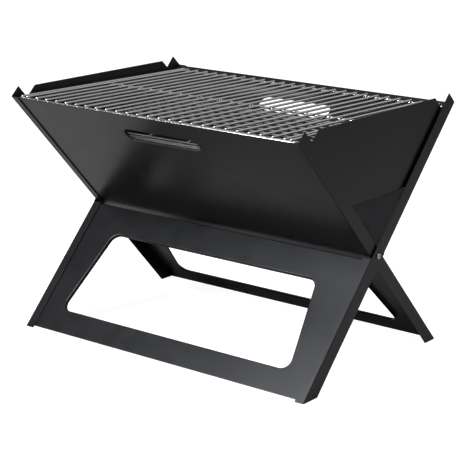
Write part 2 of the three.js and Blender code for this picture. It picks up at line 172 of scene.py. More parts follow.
class Nodes:
    """Builds one material's node tree."""

    def __init__(self, name: str) -> None:
        """Starts an empty material with a shader and Object coordinates."""
        self.material = bpy.data.materials.new(name)
        self.material.use_nodes = True
        self.tree = self.material.node_tree
        self.shader = self.tree.nodes["Principled BSDF"]
        self.coordinates = self.tree.nodes.new("ShaderNodeTexCoord").outputs["Object"]

    def noise(self, scale: float, detail: float = 3.0) -> Socket:
        """A noise pattern.

        Args:
            scale: waves a metre.
            detail: octaves.

        Returns:
            The pattern's value socket.
        """
        node = self.tree.nodes.new("ShaderNodeTexNoise")
        node.inputs["Scale"].default_value = scale
        node.inputs["Detail"].default_value = detail
        self.tree.links.new(self.coordinates, node.inputs["Vector"])
        return node.outputs["Fac"]

    def between(self, factor: Socket, low: float, high: float) -> Socket:
        """Maps a pattern's middle range to another range.

        Args:
            factor: the pattern.
            low: value at the range's lower end.
            high: value at its upper end.

        Returns:
            The mapped value's socket.
        """
        node = self.tree.nodes.new("ShaderNodeMapRange")
        for key, value in (("From Min", 0.3), ("From Max", 0.7), ("To Min", low), ("To Max", high)):
            node.inputs[key].default_value = value
        self.tree.links.new(factor, node.inputs["Value"])
        return node.outputs["Result"]

    def blend(self, factor: Socket, first: Sequence[float], second: Sequence[float]) -> Socket:
        """Mixes two colours by a pattern.

        Args:
            factor: the pattern.
            first: colour where it is low.
            second: colour where it is high.

        Returns:
            The mixed colour's socket.
        """
        node = self.tree.nodes.new("ShaderNodeMix")
        node.data_type = "RGBA"
        node.inputs["A"].default_value = (*first, 1)
        node.inputs["B"].default_value = (*second, 1)
        self.tree.links.new(factor, node.inputs["Factor"])
        return node.outputs["Result"]

    def bump(self, height: Socket, depth: float, strength: float, under: Socket | None = None) -> Socket:
        """Raises the surface by a pattern.

        Args:
            height: the pattern.
            depth: height of its waves, in metres.
            strength: share of the effect.
            under: a normal socket that this bump lies on.

        Returns:
            The normal socket.
        """
        node = self.tree.nodes.new("ShaderNodeBump")
        node.inputs["Distance"].default_value = depth
        node.inputs["Strength"].default_value = strength
        self.tree.links.new(height, node.inputs["Height"])
        if under is not None:
            self.tree.links.new(under, node.inputs["Normal"])
        return node.outputs["Normal"]

    def feed(self, socket: str, source: Socket) -> None:
        """Links a pattern to one of the shader's sockets."""
        self.tree.links.new(source, self.shader.inputs[socket])

    def fix(self, **values: float) -> None:
        """Sets constant values on the shader's own sockets, spaces written as underscores."""
        for key, value in values.items():
            self.shader.inputs[key.replace("_", " ")].default_value = value


@dataclass(frozen=True)
class HeatPaint:
    """Satin black heat-resistant paint, baked on sheet steel."""

    name: str = "satin_black_heat_paint"
    dark: tuple[float, float, float] = (0.0022, 0.0022, 0.0025)
    light: tuple[float, float, float] = (0.0038, 0.0037, 0.0040)
    smoothest: float = 0.28
    roughest: float = 0.34
    gloss: float = 0.32

    def make(self) -> bpy.types.Material:
        """Builds the material: cloudy tint, faint orange peel and a fine grain."""
        nodes = Nodes(self.name)
        nodes.fix(Specular_IOR_Level=self.gloss)
        nodes.feed("Base Color", nodes.blend(nodes.noise(9, 4), self.dark, self.light))
        nodes.feed("Roughness", nodes.between(nodes.noise(34, 5), self.smoothest, self.roughest))
        peel = nodes.bump(nodes.noise(420, 2), depth=0.00003, strength=0.25)
        nodes.feed("Normal", nodes.bump(nodes.noise(2600, 2), depth=0.00001, strength=0.30, under=peel))
        return nodes.material


@dataclass(frozen=True)
class BrightChrome:
    """Bright plating over drawn wire."""

    name: str = "bright_chrome_wire"
    clear: tuple[float, float, float] = (0.66, 0.66, 0.64)
    clouded: tuple[float, float, float] = (0.52, 0.52, 0.50)
    smoothest: float = 0.14
    roughest: float = 0.26

    def make(self) -> bpy.types.Material:
        """Builds the material: slightly clouded plating with the wire's fine surface under it."""
        nodes = Nodes(self.name)
        nodes.fix(Metallic=1.0)
        nodes.feed("Base Color", nodes.blend(nodes.noise(70, 4), self.clear, self.clouded))
        nodes.feed("Roughness", nodes.between(nodes.noise(160, 4), self.smoothest, self.roughest))
        nodes.feed("Normal", nodes.bump(nodes.noise(900, 3), depth=0.00002, strength=0.30))
        return nodes.material


@dataclass(frozen=True)
class DullWireWithPaintedShade(BrightChrome):
    """The charcoal grate's plainer drawn wire, darker than that finish alone: painted shade of the firebox's
    inside.
    """

    name: str = "dull_wire_with_painted_shade"
    # painted shade: both colours are darker than the plain wire, standing in for the shade inside the
    # firebox
    clear: tuple[float, float, float] = (0.18, 0.18, 0.18)
    clouded: tuple[float, float, float] = (0.11, 0.11, 0.11)
    smoothest: float = 0.28
    roughest: float = 0.42


@dataclass(frozen=True)
class ZincPlate:
    """Zinc plate on turned and pressed fasteners."""

    name: str = "zinc_plated_fastener"
    bright: tuple[float, float, float] = (0.60, 0.60, 0.58)
    dull: tuple[float, float, float] = (0.42, 0.42, 0.41)

    def make(self) -> bpy.types.Material:
        """Builds the material: mottled plating with a fine crystalline grain."""
        nodes = Nodes(self.name)
        nodes.fix(Metallic=1.0)
        nodes.feed("Base Color", nodes.blend(nodes.noise(300, 4), self.bright, self.dull))
        nodes.feed("Roughness", nodes.between(nodes.noise(700, 4), 0.22, 0.38))
        nodes.feed("Normal", nodes.bump(nodes.noise(3000, 2), depth=0.00001, strength=0.4))
        return nodes.material


@dataclass(frozen=True)
class StudioFloor:
    """Plain pale floor, which glows to the eye alone so that shadows on it stay faint."""

    name: str = "pale_floor"
    colour: tuple[float, float, float] = (0.33, 0.322, 0.314)
    glow: float = 0.92

    def make(self) -> bpy.types.Material:
        """Builds the material; the glow lights nothing else."""
        nodes = Nodes(self.name)
        nodes.fix(Roughness=0.9, Specular_IOR_Level=0.1)
        nodes.shader.inputs["Base Color"].default_value = (*self.colour, 1)
        nodes.shader.inputs["Emission Color"].default_value = (1, 1, 1, 1)
        direct = nodes.tree.nodes.new("ShaderNodeLightPath")
        glow = nodes.tree.nodes.new("ShaderNodeMath")
        glow.operation = "MULTIPLY"
        glow.inputs[1].default_value = self.glow
        nodes.tree.links.new(direct.outputs["Is Camera Ray"], glow.inputs[0])
        nodes.feed("Emission Strength", glow.outputs["Value"])
        return nodes.material


# ---------------------------------------------------------------------------------- the workbench


class Workpiece:
    """One mesh under construction, shaped with Blender's own edit operators."""

    def __init__(self, name: str) -> None:
        """Starts a piece with no geometry, in edit mode."""
        bpy.ops.object.select_all(action="DESELECT")
        bpy.ops.mesh.primitive_plane_add(size=1)
        self.object = bpy.context.active_object
        self.object.name = name
        self.object.data.name = name
        self.edit()
        bpy.ops.mesh.select_all(action="SELECT")
        bpy.ops.mesh.delete(type="VERT")

    def edit(self) -> None:
        """Enters edit mode on this piece alone."""
        if bpy.context.object and bpy.context.object.mode == "EDIT":
            bpy.ops.object.mode_set(mode="OBJECT")
        self.choose()
        bpy.ops.object.mode_set(mode="EDIT")

    def choose(self) -> None:
        """Makes this the one selected object."""
        if bpy.context.object and bpy.context.object.mode != "OBJECT":
            bpy.ops.object.mode_set(mode="OBJECT")
        bpy.ops.object.select_all(action="DESELECT")
        self.object.select_set(True)
        bpy.context.view_layer.objects.active = self.object

    def pick(self, kind: str, test: Callable[[list[Vector]], bool]) -> int:
        """Selects elements by where their corners are, and leaves the piece in edit mode.

        Args:
            kind: VERT, EDGE or FACE.
            test: says whether an element with these corners is selected.

        Returns:
            How many elements were selected.
        """
        bpy.ops.mesh.select_mode(type=kind)
        bpy.ops.mesh.select_all(action="DESELECT")
        bpy.ops.object.mode_set(mode="OBJECT")
        mesh = self.object.data
        elements = {"VERT": mesh.vertices, "EDGE": mesh.edges, "FACE": mesh.polygons}[kind]
        count = 0
        for element in elements:
            indices = [element.index] if kind == "VERT" else element.vertices
            element.select = test([mesh.vertices[i].co for i in indices])
            count += element.select
        bpy.ops.object.mode_set(mode="EDIT")
        return count

    def pick_open_edges(self, test: Test) -> None:
        """Selects the edges with a face on one side at most.

        Args:
            test: what both ends of such an edge have to pass.
        """
        bpy.ops.mesh.select_mode(type="EDGE")
        bpy.ops.mesh.select_all(action="DESELECT")
        bpy.ops.mesh.select_non_manifold(extend=False, use_wire=True, use_boundary=True)
        bpy.ops.object.mode_set(mode="OBJECT")
        mesh = self.object.data
        for edge in mesh.edges:
            edge.select = edge.select and all(test(mesh.vertices[i].co) for i in edge.vertices)
        bpy.ops.object.mode_set(mode="EDIT")

    def face_towards(self, direction: Vector) -> None:
        """Turns an open sheet's faces one way.

        Args:
            direction: where the largest face looks afterwards.
        """
        bpy.ops.mesh.select_all(action="SELECT")
        bpy.ops.mesh.remove_doubles(threshold=MERGE_WITHIN)
        bpy.ops.mesh.normals_make_consistent(inside=False)
        bpy.ops.object.mode_set(mode="OBJECT")
        largest = max(self.object.data.polygons, key=lambda face: face.area)
        wrong = largest.normal.dot(direction) < 0
        bpy.ops.object.mode_set(mode="EDIT")
        if wrong:
            bpy.ops.mesh.select_all(action="SELECT")
            bpy.ops.mesh.flip_normals()

    def close_up(self) -> None:
        """Merges doubles and turns a closed shape's faces outwards."""
        self.edit()
        bpy.ops.mesh.select_all(action="SELECT")
        bpy.ops.mesh.remove_doubles(threshold=MERGE_WITHIN)
        bpy.ops.mesh.normals_make_consistent(inside=False)
        bpy.ops.object.mode_set(mode="OBJECT")

    def cut(
        self, at: Sequence[float], normal: Sequence[float], drop: bool = False, cap: bool = False,
    ) -> None:
        """Bisects the whole piece by a plane.

        Args:
            at: a point of the plane.
            normal: the plane's normal.
            drop: whether what lies behind the plane is removed.
            cap: whether the cut is closed.
        """
        bpy.ops.mesh.select_all(action="SELECT")
        bpy.ops.mesh.bisect(plane_co=at, plane_no=normal, clear_inner=drop, use_fill=cap, threshold=1e-6)

    def push(self, offset: Sequence[float]) -> None:
        """Extrudes the selection by an offset."""
        bpy.ops.mesh.extrude_region_move(TRANSFORM_OT_translate={"value": offset})

    def fold(self, centre: Vector, axis: Vector, angle: float, steps: int = 6) -> None:
        """Folds the selected edge about a bend line; the spin operator itself turns the other way."""
        bpy.ops.mesh.spin(steps=steps, angle=-angle, center=centre, axis=axis)

    def modify(self, kind: str, **settings: object) -> None:
        """Adds a modifier and applies it.

        Args:
            kind: the modifier's type.
            settings: its settings, by name.
        """
        self.choose()
        modifier = self.object.modifiers.new(kind.lower(), kind)
        for key, value in settings.items():
            setattr(modifier, key, value)
        bpy.ops.object.modifier_apply(modifier=modifier.name)

    def thicken(self, sheet: float) -> None:
        """Gives an open sheet its thickness, behind its faces."""
        self.modify("SOLIDIFY", thickness=sheet, offset=-1, use_even_offset=True, use_quality_normals=True)

    def bore(self, x: float, radius: float, length: float) -> None:
        """Drills a hole along X on the pivot line.

        Args:
            x: the middle of the hole.
            radius: its radius.
            length: how long the drill is.
        """
        cutter = Workpiece("bore")
        bpy.ops.mesh.primitive_cylinder_add(
            vertices=32, radius=radius, depth=length,
            location=(x, 0, SIZES.pivot_z), rotation=(0, math.pi / 2, 0),
        )
        cutter.close_up()
        self.modify("BOOLEAN", operation="DIFFERENCE", object=cutter.object, solver="EXACT")
        bpy.data.objects.remove(cutter.object)

    def place(self, matrix: Matrix) -> None:
        """Moves the mesh to its place, with the object left at the origin.

        Args:
            matrix: what takes the mesh there.
        """
        self.choose()
        self.object.matrix_world = matrix
        bpy.ops.object.transform_apply(location=True, rotation=True, scale=True)

    def mirrored(self, name: str) -> "Workpiece":
        """Makes the piece's mirror image on the other side.

        Args:
            name: the image's name.

        Returns:
            The image, with its own mesh.
        """
        self.choose()
        bpy.ops.object.duplicate()
        twin = object.__new__(Workpiece)
        twin.object = bpy.context.active_object
        twin.object.name = name
        twin.object.data.name = name
        twin.object.matrix_world = Matrix.Diagonal((-1, 1, 1, 1))
        bpy.ops.object.transform_apply(location=True, rotation=True, scale=True)
        twin.close_up()
        return twin

    def soften(self, width: float = SIZES.edge_break) -> None:
        """Breaks the sharp edges, so that they catch light.

        Args:
            width: how wide each broken edge is.
        """
        self.modify(
            "BEVEL", width=width, segments=2, limit_method="ANGLE",
            angle_limit=SIZES.sharp_edge, use_clamp_overlap=True, harden_normals=False,
        )

    def smooth(self, angle: float = 32) -> None:
        """Shades rounds smooth and keeps flats flat.

        Args:
            angle: in degrees, the sharpest edge that is still shaded round.
        """
        self.choose()
        bpy.ops.object.shade_smooth_by_angle(angle=math.radians(angle))
        self.modify("WEIGHTED_NORMAL", keep_sharp=True)

    def deliver(self, body: str, node: str, slot: Slot, material: bpy.types.Material) -> None:
        """Hands the piece over.

        Args:
            body: the body that it rides on.
            node: the CAD node that it stands for.
            slot: the record's material slot; not used.
            material: its finish.
        """
        self.object.data.materials.clear()
        self.object.data.materials.append(material)
        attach(self.object, body)
        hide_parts(node)
        LOG.info("%s: %d faces, rides on %s", self.object.name, len(self.object.data.polygons), body)


def joined(name: str, parts: Iterable[Workpiece]) -> Workpiece:
    """Joins several shells into one piece.

    Args:
        name: the new piece's name.
        parts: the shells; the first one takes in the others.

    Returns:
        The joined piece.
    """
    parts = list(parts)
    parts[0].choose()
    for part in parts[1:]:
        part.object.select_set(True)
    bpy.ops.object.join()
    parts[0].object.name = name
    parts[0].object.data.name = name
    return parts[0]


def near(value: float, target: float, reach: float = 0.02 * MM) -> bool:
    """Whether a coordinate is at a given place."""
    return abs(value - target) < reach


# -------------------------------------------------------------------------------------- the rails


@dataclass
class Rails:
    """The four folded rails, two to a frame, with a lip above the pivot and one below it."""

    bend: float = 1.7 * MM
    lip_clearance: float = 0.4 * MM
    foot_overrun: float = 25 * MM

    def build(self, crossed: CrossedFrame) -> Workpiece:
        """Makes one frame's right-hand rail.

        Args:
            crossed: the frame that it belongs to.

        Returns:
            The finished rail.
        """
        half, bend, x = crossed.depth / 2, self.bend, crossed.rail_x
        flat = half - bend
        lip_start = OUTER.depth / 2 + self.lip_clearance
        foot = crossed.up_at_height(0, 0) - self.foot_overrun
        rail = Workpiece(f"right_{crossed.word}_rail_folded")
        length = SIZES.reach - foot
        middle = (x, 0, (SIZES.reach + foot) / 2)
        bpy.ops.mesh.primitive_plane_add(size=1, location=middle, rotation=(0, math.pi / 2, 0))
        bpy.ops.transform.resize(value=(1, crossed.depth, length), center_override=middle)
        for up in (-lip_start, lip_start):
            rail.cut((x, 0, up), (0, 0, 1))
        for y in (-flat, flat):
            rail.cut((x, y, 0), (0, 1, 0))

        # the upper lip turns in on the u < 0 edge, the lower one on the u > 0 edge
        for sign in (-1, 1):
            y = crossed.side * sign

            def on_lip(corner: Vector, side: int = sign) -> bool:
                """Whether a corner is as far from the pivot as this edge's lip."""
                return -side * corner.z > lip_start - HAIR

            rail.pick("FACE", lambda c, y=y: all(v.y * y > flat - HAIR and on_lip(v) for v in c))
            bpy.ops.mesh.delete(type="FACE")
            rail.pick("EDGE", lambda c, y=y: all(near(v.y * y, flat) and on_lip(v) for v in c))
            rail.fold(Vector((x - bend, y * flat, 0)), Vector((0, 0, 1)), y * math.pi / 2)
            rail.push((bend - crossed.lip, 0, 0))
        rail.face_towards(Vector((1, 0, 0)))
        bpy.ops.object.mode_set(mode="OBJECT")
        rail.thicken(SIZES.rail_sheet)
        rail.place(crossed.placed)
        rail.edit()
        rail.cut((0, 0, 0), (0, 0, 1), drop=True, cap=True)
        rail.close_up()
        rail.bore(x, SIZES.screw_hole / 2, 4 * SIZES.rail_sheet)
        rail.soften()
        rail.smooth()
        return rail

    def make(self, paint: bpy.types.Material) -> None:
        """Makes all four rails.

        Args:
            paint: their finish.
        """
        for crossed in (INNER, OUTER):
            right = self.build(crossed)
            left = right.mirrored(f"left_{crossed.word}_rail_folded")
            left.smooth()
            for hand, rail in ((Hand.RIGHT, right), (Hand.LEFT, left)):
                rail.deliver(crossed.body, f"{hand.word}_{crossed.word}_rail", Slot.STEEL, paint)


# ------------------------------------------------------------------------------------- the panels


class Panel:
    """A flat sheet with one opening, whose edge is turned in."""

    corner_steps: int = 10
    bend_rings: int = 5

    def __init__(self, name: str, crossed: CrossedFrame, y: float, facing: int) -> None:
        """Starts a sheet.

        Args:
            name: the piece's name.
            crossed: the frame that it belongs to.
            y: the visible face's local place.
            facing: +1 or -1, the local Y direction in which that face looks.
        """
        self.crossed = crossed
        self.y = y
        self.facing = facing
        self.work = Workpiece(name)

    def opening(
        self, top: float, bottom: float, top_half: float, bottom_half: float,
        top_round: float, bottom_round: float, bend: float, depth: float,
    ) -> None:
        """Makes the opening's turned-in rim.

        Args:
            top: upper side, measured up the rail.
            bottom: lower side.
            top_half: half the length of the upper side.
            bottom_half: half the length of the lower side.
            top_round: distance from an upper corner at which its rounding starts.
            bottom_round: the same for a lower corner.
            bend: radius of the turned edge, on the visible face.
            depth: how deep the rim is, measured from the visible face.
        """
        centre = (0, self.y, (top + bottom) / 2)
        height = top - bottom + 2 * bend
        bpy.ops.mesh.primitive_plane_add(
            size=1, location=centre, rotation=(self.facing * -math.pi / 2, 0, 0),
        )
        bpy.ops.transform.resize(value=(2 * (bottom_half + bend), 1, height), center_override=centre)
        taper = (top_half + bend) / (bottom_half + bend)
        self.work.pick("VERT", lambda c: c[0].z > centre[2])
        bpy.ops.transform.resize(value=(taper, 1, 1), center_override=centre)
        self.round_corners(top_round + bend)
        self.work.pick("VERT", lambda c: c[0].z < bottom - bend + HAIR)
        self.round_corners(bottom_round + bend)
        bpy.ops.mesh.select_mode(type="FACE")
        bpy.ops.mesh.select_all(action="SELECT")
        for ring in range(self.bend_rings):
            before, after = (math.pi / 2 * k / self.bend_rings for k in (ring, ring + 1))
            bpy.ops.mesh.inset(
                thickness=bend * (math.sin(after) - math.sin(before)),
                depth=-bend * (math.cos(before) - math.cos(after)),
                use_even_offset=True,
            )
        self.work.push((0, -self.facing * (depth - bend), 0))
        bpy.ops.mesh.delete(type="FACE")

    def round_corners(self, offset: float) -> None:
        """Rounds the selected corners, starting at an offset from each."""
        bpy.ops.mesh.bevel(
            offset=offset, segments=self.corner_steps, affect="VERTICES", clamp_overlap=False,
        )

    def surround(self, top: float, bottom: float, half: float) -> None:
        """Fills the flat sheet between the opening and its own outline.

        Args:
            top: the outline's upper side, measured up the rail.
            bottom: its lower side.
            half: half its width.
        """
        middle = (0, self.y, (top + bottom) / 2)
        bpy.ops.mesh.primitive_plane_add(size=1, location=middle, rotation=(math.pi / 2, 0, 0))
        bpy.ops.transform.resize(value=(2 * half, 1, top - bottom), center_override=middle)
        bpy.ops.mesh.delete(type="ONLY_FACE")
        self.work.pick_open_edges(lambda c: near(c.y, self.y))
        bpy.ops.mesh.fill(use_beauty=True)

    def finish(self, sheet: float) -> Workpiece:
        """Gives the sheet its thickness and takes it to its place.

        Args:
            sheet: the thickness.

        Returns:
            The finished piece.
        """
        self.work.face_towards(Vector((0, self.facing, 0)))
        bpy.ops.object.mode_set(mode="OBJECT")
        self.work.thicken(sheet)
        self.work.close_up()
        self.work.soften()
        self.work.place(self.crossed.placed)
        self.work.smooth()
        return self.work


@dataclass
class FireboxWalls:
    """The front and the rear wall, each with a rimmed handle slot."""

    top_drop: float = 2 * MM
    bottom: float = -6 * MM
    slot_length: float = 114 * MM
    slot_width: float = 22 * MM
    slot_drop: float = 44 * MM
    end_flat: float = 1 * MM
    rim_depth: float = 3.4 * MM
    bend: float = 1.5 * MM

    def make(self, paint: bpy.types.Material) -> None:
        """Makes both walls.

        Args:
            paint: their finish.
        """
        for crossed, node in ((INNER, "front_wall"), (OUTER, "rear_wall")):
            facing = -crossed.side
            y = facing * (crossed.panel_u + SIZES.panel_sheet)
            middle = SIZES.reach - self.slot_drop
            end_round = (self.slot_width - self.end_flat) / 2
            panel = Panel(f"{node}_sheet", crossed, y, facing)
            panel.opening(
                top=middle + self.slot_width / 2, bottom=middle - self.slot_width / 2,
                top_half=self.slot_length / 2, bottom_half=self.slot_length / 2,
                top_round=end_round, bottom_round=end_round, bend=self.bend, depth=self.rim_depth,
            )
            panel.surround(SIZES.reach - self.top_drop, self.bottom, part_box(node)[1].x)
            panel.finish(SIZES.panel_sheet).deliver(crossed.body, node, Slot.STEEL, paint)


@dataclass
class LegPanels:
    """The front and the rear leg panel, each with a window and a turned-in upper edge."""

    top: float = -11 * MM
    top_return: float = 5.8 * MM
    window_head: float = 40 * MM
    window_sill: float = 26.8 * MM
    window_top_inset: float = 61.3 * MM
    window_bottom_inset: float = 40.6 * MM
    corner: float = 13 * MM
    rim_depth: float = 4.8 * MM
    bend: float = 1.8 * MM

    def make(self, paint: bpy.types.Material) -> None:
        """Makes both leg panels.

        Args:
            paint: their finish.
        """
        for crossed, node in ((OUTER, "front_leg_panel"), (INNER, "rear_leg_panel")):
            facing = crossed.side
            y = facing * (crossed.panel_u + SIZES.panel_sheet)
            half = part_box(node)[1].x
            window_top = self.top - self.window_head
            window_bottom = self.window_sill + crossed.up_at_height(0, 0)
            top_half = OUTER.rail_x - self.window_top_inset
            bottom_half = OUTER.rail_x - self.window_bottom_inset
            lean = math.atan2(bottom_half - top_half, window_top - window_bottom)
            panel = Panel(f"{node}_sheet", crossed, y, facing)
            panel.opening(
                top=window_top, bottom=window_bottom, top_half=top_half, bottom_half=bottom_half,
                top_round=self.corner * math.tan(math.pi / 4 - lean / 2),
                bottom_round=self.corner * math.tan(math.pi / 4 + lean / 2),
                bend=self.bend, depth=self.rim_depth,
            )
            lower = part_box(node)[0].z
            bottom = crossed.up_at_height(crossed.panel_u, lower)
            panel.surround(self.top - self.bend, bottom, half)
            self.turn_in_top(panel)
            panel.finish(SIZES.panel_sheet).deliver(crossed.body, node, Slot.STEEL, paint)

    def turn_in_top(self, panel: Panel) -> None:
        """Folds the panel's upper edge in by a right angle.

        Args:
            panel: the panel, still an open sheet.
        """
        edge = self.top - self.bend
        panel.work.pick("EDGE", lambda c: all(near(v.z, edge) for v in c))
        centre = Vector((0, panel.y - panel.facing * self.bend, edge))
        panel.work.fold(centre, Vector((1, 0, 0)), panel.facing * math.pi / 2)
        panel.work.push((0, -panel.facing * (self.top_return - self.bend), 0))


# --------------------------------------------------------------------------------- the end plates


@dataclass
class EndPlates:
    """The two plates that close the firebox's ends, each with a turned-in lower edge."""

    corner_drop: float = 21 * MM
    shelf: float = 7 * MM
    bend: float = 1.4 * MM
    blank_spare: float = 1.1

    def make(self, paint: bpy.types.Material) -> None:
        """Makes both end plates, each cut from a blank a little wider than itself.

        Args:
            paint: their finish.
        """
        low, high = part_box("right_end_plate")
        seats = {crossed.word: -crossed.panel_u + SIZES.seat_gap for crossed in (INNER, OUTER)}
        plate = Workpiece("right_end_plate_folded")
        fold_line = low.z + self.bend
        middle = (high.x, (low.y + high.y) / 2, (high.z + fold_line) / 2)
        bpy.ops.mesh.primitive_plane_add(size=1, location=middle, rotation=(0, math.pi / 2, 0))
        bpy.ops.transform.resize(
            value=(1, self.blank_spare * (high.y - low.y), high.z - fold_line), center_override=middle,
        )
        for crossed in (INNER, OUTER):
            wall = crossed.point(0, seats[crossed.word])
            plate.cut((high.x, wall.y, wall.z), crossed.outwards, drop=True)
            corner = crossed.point(SIZES.reach - self.corner_drop, 0)
            plate.cut((high.x, corner.y, corner.z), -crossed.up_rail, drop=True)
        plate.pick("EDGE", lambda c: all(near(v.z, fold_line) for v in c))
        plate.fold(Vector((high.x - self.bend, 0, fold_line)), Vector((0, 1, 0)), math.pi / 2)
        plate.push((self.bend - self.shelf, 0, 0))
        plate.face_towards(Vector((1, 0, 0)))
        bpy.ops.object.mode_set(mode="OBJECT")
        plate.thicken(SIZES.panel_sheet)
        plate.close_up()
        plate.soften()
        plate.smooth()
        twin = plate.mirrored("left_end_plate_folded")
        twin.smooth()
        for hand, made in ((Hand.RIGHT, plate), (Hand.LEFT, twin)):
            node = f"{hand.word}_end_plate"
            made.deliver(f"{node}_body", node, Slot.STEEL, paint)


# ------------------------------------------------------------------------------------- the grates


ROUND_WIRE = 50


class WireKind(Enum):
    """Which way a wire runs."""

    ACROSS = "X"
    BACKWARDS = "Y"


@dataclass
class WireShop:
    """Cuts round wires and lays weld beads for one grate, all drawn level about the origin."""

    sides: int = 16
    tip_share: float = 0.38
    tip_rings: int = 4
    parts: list[Workpiece] = field(default_factory=list)

    def wire(self, kind: WireKind, diameter: float, start: float, end: float, at: Vector) -> None:
        """Lays one straight wire with rounded cut ends.

        Args:
            kind: which way it runs.
            diameter: its thickness.
            start: where it begins along its own direction.
            end: where it ends.
            at: its place across its direction; the running coordinate is ignored.
        """
        piece = Workpiece("wire")
        turn = (0, math.pi / 2, 0) if kind is WireKind.ACROSS else (math.pi / 2, 0, 0)
        middle = (start + end) / 2
        centre = (middle, at.y, at.z) if kind is WireKind.ACROSS else (at.x, middle, at.z)
        bpy.ops.mesh.primitive_cylinder_add(
            vertices=self.sides, radius=diameter / 2, depth=end - start, location=centre, rotation=turn,
        )
        piece.pick("EDGE", lambda c: (c[0] - c[1]).length < diameter)
        bpy.ops.mesh.bevel(offset=self.tip_share * diameter, segments=self.tip_rings)
        bpy.ops.object.mode_set(mode="OBJECT")
        self.parts.append(piece)

    def bead(self, at: Vector, size: Vector) -> None:
        """Lays the bead of metal that a resistance weld squeezes out at a crossing.

        Args:
            at: its centre.
            size: half its length along each axis.
        """
        piece = Workpiece("bead")
        bpy.ops.mesh.primitive_uv_sphere_add(segments=12, ring_count=7, radius=1, location=at)
        bpy.ops.transform.resize(value=size, center_override=at)
        bpy.ops.object.mode_set(mode="OBJECT")
        self.parts.append(piece)


def spaced(count: int, reach: float) -> list[float]:
    """Places evenly spaced from -reach to reach."""
    return [reach * (2 * i / (count - 1) - 1) for i in range(count)]


@dataclass
class CookingGrate:
    """Rods from front to back, welded on three cross wires."""

    rod: float = 3.0 * MM
    cross: float = 3.5 * MM
    rods: int = 25
    edge_step: float = 8.3 * MM
    wire_overhang: float = 5.3 * MM
    rod_overhang: float = 2.2 * MM
    front_drop: float = 5.6 * MM
    rear_drop: float = 11.8 * MM
    weld_sink: float = 0.4 * MM
    bead: tuple[float, float, float] = (0.62, 0.52, 0.45)
    node: str = "cooking_grate"

    def seat(self, crossed: CrossedFrame, drop: float) -> Vector:
        """Centre of the cross wire that rests on one frame's wall."""
        return crossed.point(SIZES.reach - drop, -crossed.panel_u + SIZES.seat_gap + self.cross / 2)

    def make(self, chrome: bpy.types.Material) -> None:
        """Makes the grate.

        Args:
            chrome: its finish.
        """
        front, rear = self.seat(INNER, self.front_drop), self.seat(OUTER, self.rear_drop)
        depth = (rear - front).length
        wire_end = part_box(self.node)[1].x
        rod_z = (self.cross + self.rod) / 2 - self.weld_sink
        edge = wire_end - self.wire_overhang
        shop = WireShop()
        lines = (-depth / 2, 0.0, depth / 2)
        wide, long, tall = self.bead
        bead = Vector((self.rod * wide, self.cross * long, self.rod * tall))
        for y in lines:
            shop.wire(WireKind.ACROSS, self.cross, -wire_end, wire_end, Vector((0, y, 0)))
        rod_end = depth / 2 + self.rod_overhang
        for x in (-edge, *spaced(self.rods, edge - self.edge_step), edge):
            shop.wire(WireKind.BACKWARDS, self.rod, -rod_end, rod_end, Vector((x, 0, rod_z)))
            for y in lines:
                shop.bead(Vector((x, y, rod_z / 2)), bead)
        grate = joined(f"{self.node}_wires", shop.parts)
        tilt = math.atan2(rear.z - front.z, rear.y - front.y)
        grate.place(Matrix.Translation((front + rear) / 2) @ Matrix.Rotation(tilt, 4, "X"))
        grate.smooth(ROUND_WIRE)
        grate.deliver(f"{self.node}_body", self.node, Slot.WIRE, chrome)


@dataclass
class CharcoalGrate:
    """Rods from side to side, on cross wires whose ends rest on the walls."""

    rod: float = 3.0 * MM
    cross: float = 3.6 * MM
    crosses: int = 7
    cross_inset: float = 20 * MM
    rods: int = 14
    edge_inset: float = 4 * MM
    double_step: float = 7.5 * MM
    weld_sink: float = 0.4 * MM
    bead: tuple[float, float, float] = (0.62, 0.72, 0.5)
    sides: int = 12
    node: str = "charcoal_grate"

    def make(self, wire: bpy.types.Material) -> None:
        """Makes the grate.

        Args:
            wire: its finish, darkened with painted shade.
        """
        low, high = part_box(self.node)
        rod_end = high.x
        height = low.z + self.cross / 2
        middle, reach = (low.y + high.y) / 2, (high.y - low.y) / 2
        rod_z = height + (self.cross + self.rod) / 2 - self.weld_sink
        edge = reach - self.edge_inset
        doubled = edge - self.double_step
        wide, long, tall = self.bead
        bead = Vector((self.cross * wide, self.rod * long, self.rod * tall))
        shop = WireShop(sides=self.sides)
        cross_places = spaced(self.crosses, rod_end - self.cross_inset)
        for x in cross_places:
            shop.wire(WireKind.BACKWARDS, self.cross, middle - reach, middle + reach, Vector((x, 0, height)))
        for y in (*spaced(self.rods, edge), -doubled, doubled):
            shop.wire(WireKind.ACROSS, self.rod, -rod_end, rod_end, Vector((0, middle + y, rod_z)))
            for x in cross_places:
                shop.bead(Vector((x, middle + y, (height + rod_z) / 2)), bead)
        grate = joined(f"{self.node}_wires", shop.parts)
        grate.smooth(ROUND_WIRE)
        grate.deliver(f"{self.node}_body", self.node, Slot.WIRE, wire)


# ------------------------------------------------------------------------------ the pivot fasteners


